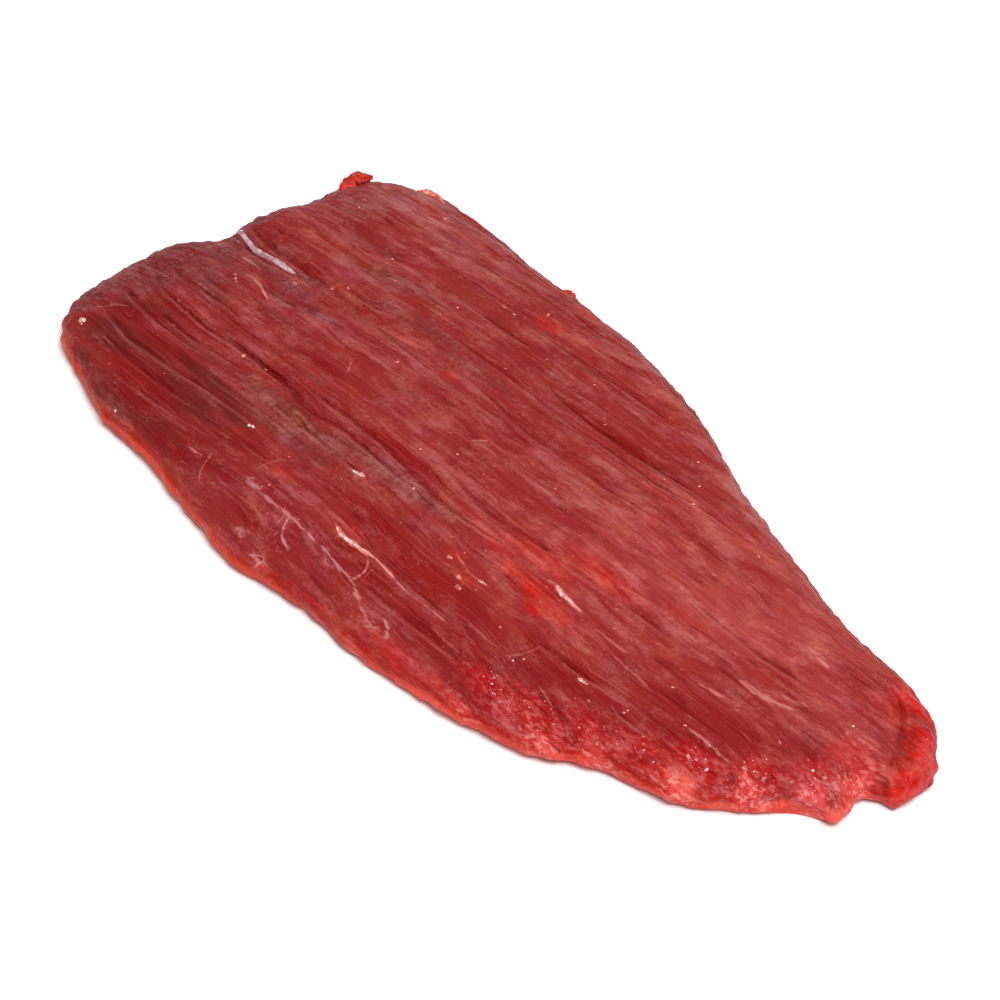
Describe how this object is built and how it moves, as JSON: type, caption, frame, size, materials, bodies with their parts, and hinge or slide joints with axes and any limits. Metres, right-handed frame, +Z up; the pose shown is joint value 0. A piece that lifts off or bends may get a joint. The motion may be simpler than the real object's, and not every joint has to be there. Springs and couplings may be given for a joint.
{
  "type": "skirt steak",
  "caption": "Raw flat beef steak: one long muscle, wide at its cut end and tapering to a blunt tip, with fibres and creases along its length.",
  "frame": {"origin": "middle of the resting face, under the middle of the steak's box", "axes": "+X along the meat fibres from the wide cut end to the tapered tip, +Y across to the far long edge, +Z up through the thickness"},
  "size_m": [0.3456, 0.1678, 0.0199],
  "materials": {
    "raw_beef": "moist raw lean beef, brick red with greyish sheen, brighter red at the cut rim, soft gloss",
    "beef_fat": "thin pinkish-white flecks of fat, tendon and silverskin left on the lean, satin"
  },
  "bodies": {
    "root": {"steak": "raw_beef"}
  },
  "joints": []
}
